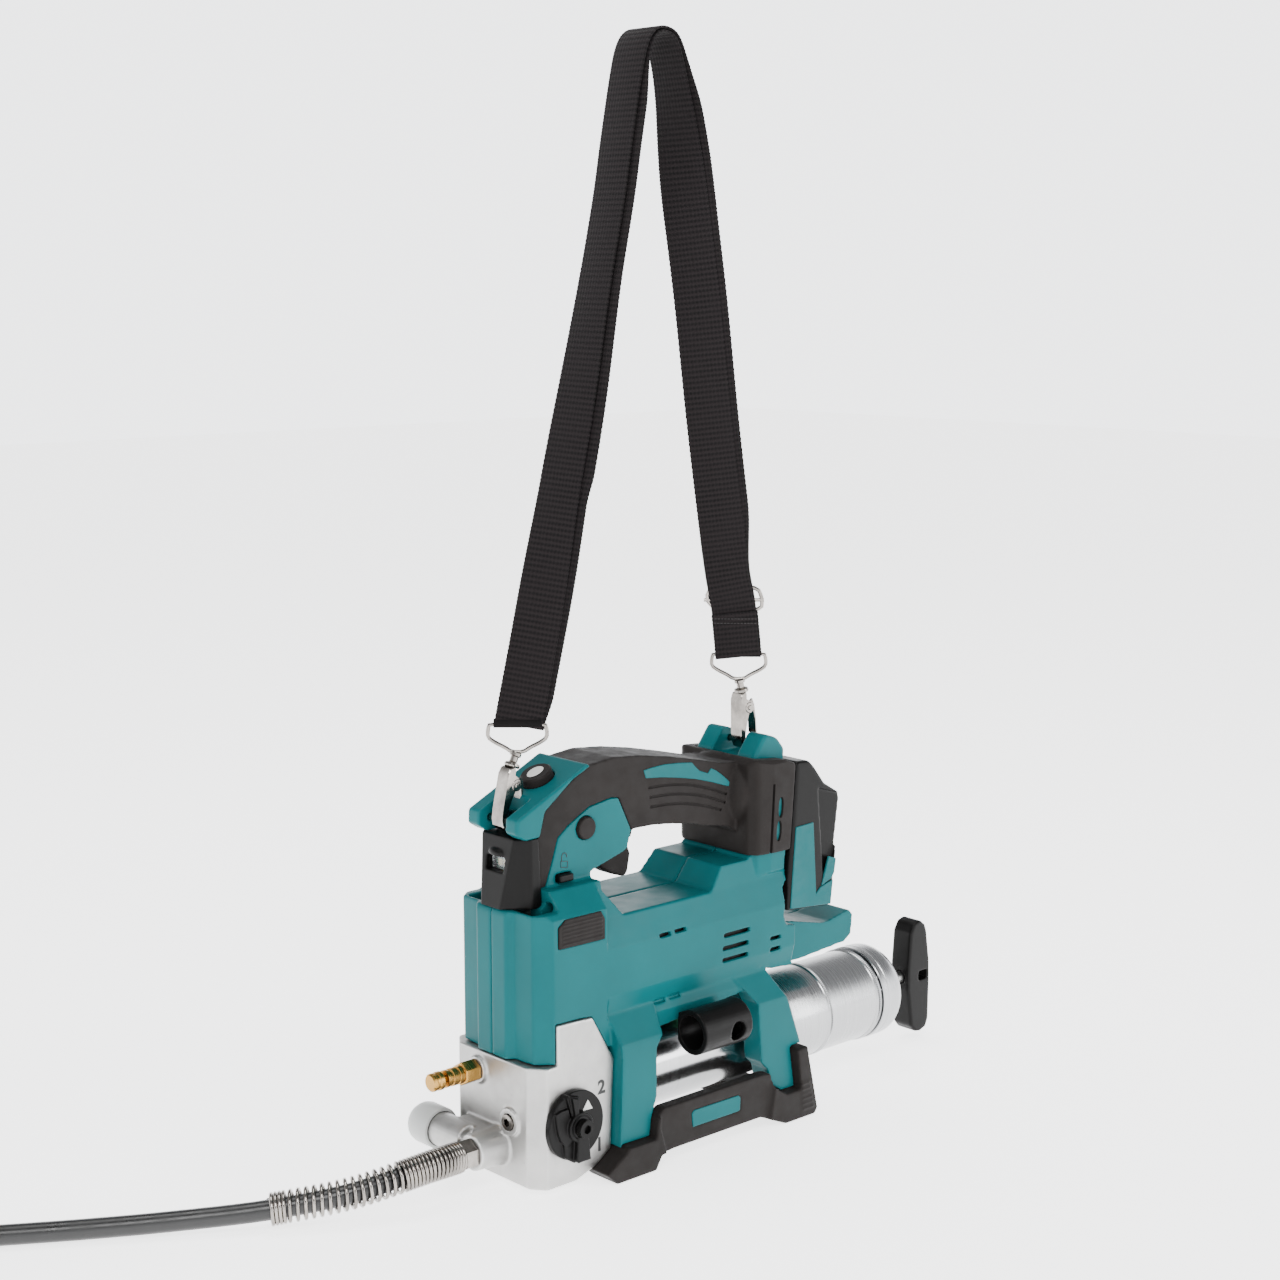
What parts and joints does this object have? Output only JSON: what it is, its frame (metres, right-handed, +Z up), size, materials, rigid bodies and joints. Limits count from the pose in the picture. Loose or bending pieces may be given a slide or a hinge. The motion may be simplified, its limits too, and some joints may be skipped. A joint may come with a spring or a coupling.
{
  "type": "cordless grease gun",
  "caption": "Cordless grease gun: D-handle casing on a cast pump block, cartridge barrel with T-handle, sprung flexible hose, slide-on battery and webbing shoulder strap.",
  "frame": {"origin": "on the floor, below the middle of the tool's box without its hose", "axes": "+X from the nose to the T-handle, along the barrel; +Y to the side away from the dial and the hose holder; +Z up"},
  "size_m": [0.8672, 0.2565, 0.6941],
  "materials": {
    "teal_casing": "fine-textured satin moulded plastic, teal",
    "black_rubber": "soft matte overmould, warm near-black",
    "black_plastic": "satin moulded plastic, black",
    "cast_aluminium": "sand-cast, bead-blasted, satin",
    "zinc_steel": "drawn tube, bright zinc plated, faint turned lines",
    "plated_steel": "nickel-plated steel",
    "machine_steel": "ground machine steel",
    "brass": "turned brass, lightly polished",
    "copper_winding": "enamelled copper winding and laminations",
    "white_plastic": "translucent white plastic",
    "clear_lens": "clear moulded lens",
    "webbing": "woven polypropylene webbing, near-black",
    "hose_rubber": "smooth thermoplastic hose cover, black",
    "circuit_board": "green circuit board with potted parts"
  },
  "bodies": {
    "tool": {"adjuster_buckle": "plated_steel", "barrel_cap": "zinc_steel", "base_guard": "black_rubber", "bleeder_body": "brass", "controller": "circuit_board", "follower_spring": "machine_steel", "front_anchor": "teal_casing", "front_anchor_pin": "plated_steel", "front_clip": "plated_steel", "front_ring": "plated_steel", "gear_bearing": "machine_steel", "grease_barrel": "zinc_steel", "grip_cover": "black_rubber", "hose": "hose_rubber", "hose_coil": "hose_rubber", "hose_coupler": "plated_steel", "hose_fitting": "plated_steel", "hose_holder": "black_plastic", "led_bezel": "black_plastic", "led_board": "circuit_board", "led_lens": "clear_lens", "left_bar_inlay": "teal_casing", "left_housing": "teal_casing", "left_side_pad": "black_rubber", "motor_bearing_front": "machine_steel", "motor_bearing_rear": "machine_steel", "motor_stator": "machine_steel", "plug_screw": "plated_steel", "pump_block": "cast_aluminium", "rear_anchor": "teal_casing", "rear_anchor_pin": "plated_steel", "rear_clip": "plated_steel", "rear_ring": "plated_steel", "relief_cap": "white_plastic", "right_bar_inlay": "teal_casing", "right_housing": "teal_casing", "right_side_pad": "black_rubber", "spring_guard": "plated_steel", "strap": "webbing", "switch_body": "black_plastic", "terminal_block": "black_plastic"},
    "trigger": {"trigger": "black_plastic"},
    "lock_button": {"lock_button": "black_rubber"},
    "lock_slider": {"lock_slider": "black_plastic"},
    "lamp_button": {"lamp_button": "white_plastic"},
    "speed_dial": {"speed_dial": "black_plastic", "dial_screw": "black_plastic"},
    "bleeder_button": {"bleeder_button": "brass"},
    "plunger_rod": {"plunger_rod": "machine_steel"},
    "t_handle": {"t_handle": "black_plastic"},
    "follower": {"follower_piston": "black_plastic"},
    "battery": {"battery_case": "black_plastic"},
    "battery_latch": {"battery_latch": "teal_casing"},
    "front_gate": {"front_gate": "plated_steel"},
    "rear_gate": {"rear_gate": "plated_steel"},
    "rotor": {"motor_rotor": "copper_winding", "motor_fan": "black_plastic", "drive_pinion": "machine_steel"},
    "drive_gear": {"drive_gear": "machine_steel"},
    "pump_plunger": {"pump_plunger": "machine_steel"}
  },
  "joints": [
    {"name": "trigger_pull", "type": "hinge", "parent": "tool", "child": "trigger", "pos_m": [-0.10745, 0.00735, 0.197], "axis": [0, -1, 0], "range_deg": [0, 8], "stiffness_Nm_per_rad": 0.6, "springref_deg": -8.59},
    {"name": "lock_press", "type": "slide", "parent": "tool", "child": "lock_button", "axis": [0, 1, 0], "range_m": [0, 0.002], "stiffness_N_per_m": 600, "springref_m": -0.001},
    {"name": "lock_slide", "type": "slide", "parent": "tool", "child": "lock_slider", "axis": [0, 1, 0], "range_m": [0, 0.003]},
    {"name": "lamp_press", "type": "slide", "parent": "tool", "child": "lamp_button", "axis": [0.4061, 0, -0.9138], "range_m": [0, 0.001], "stiffness_N_per_m": 800, "springref_m": -0.001},
    {"name": "speed_select", "type": "hinge", "parent": "tool", "child": "speed_dial", "pos_m": [-0.15275, -0.03535, 0.0421], "axis": [0, -1, 0], "range_deg": [0, 60]},
    {"name": "bleeder_press", "type": "slide", "parent": "tool", "child": "bleeder_button", "axis": [1, 0, 0], "range_m": [0, 0.002], "stiffness_N_per_m": 900, "springref_m": -0.001},
    {"name": "rod_pull", "type": "slide", "parent": "tool", "child": "plunger_rod", "axis": [1, 0, 0], "range_m": [0, 0.2]},
    {"name": "handle_spin", "type": "hinge", "parent": "plunger_rod", "child": "t_handle", "pos_m": [0.20395, 0.00735, 0.0483], "axis": [1, 0, 0], "range_deg": [-180, 180]},
    {"name": "follower_travel", "type": "slide", "parent": "tool", "child": "follower", "axis": [-1, 0, 0], "range_m": [0, 0.17]},
    {"name": "battery_slide", "type": "slide", "parent": "tool", "child": "battery", "axis": [0.0793, 0, 0.9968], "range_m": [0, 0.1]},
    {"name": "latch_press", "type": "slide", "parent": "battery", "child": "battery_latch", "axis": [-1, 0, 0], "range_m": [0, 0.002], "stiffness_N_per_m": 500, "springref_m": -0.001},
    {"name": "front_gate_swing", "type": "hinge", "parent": "tool", "child": "front_gate", "pos_m": [-0.16208, 0.00735, 0.2443], "axis": [0, 1, 0], "range_deg": [0, 20], "stiffness_Nm_per_rad": 0.02, "springref_deg": -11.46},
    {"name": "rear_gate_swing", "type": "hinge", "parent": "tool", "child": "rear_gate", "pos_m": [0.03378, 0.00735, 0.26611], "axis": [0, 1, 0], "range_deg": [0, 20], "stiffness_Nm_per_rad": 0.02, "springref_deg": -11.46},
    {"name": "rotor_spin", "type": "hinge", "parent": "tool", "child": "rotor", "pos_m": [-0.11295, 0.00735, 0.134], "axis": [1, 0, 0], "continuous": true},
    {"name": "gear_spin", "type": "hinge", "parent": "tool", "child": "drive_gear", "pos_m": [-0.11295, 0.00735, 0.109], "axis": [1, 0, 0], "continuous": true},
    {"name": "plunger_stroke", "type": "slide", "parent": "tool", "child": "pump_plunger", "axis": [0, 0, -1], "range_m": [0, 0.01]}
  ],
  "couplings": [
    {"joint": "gear_spin", "follows": "rotor_spin", "ratio": -0.28571}
  ]
}
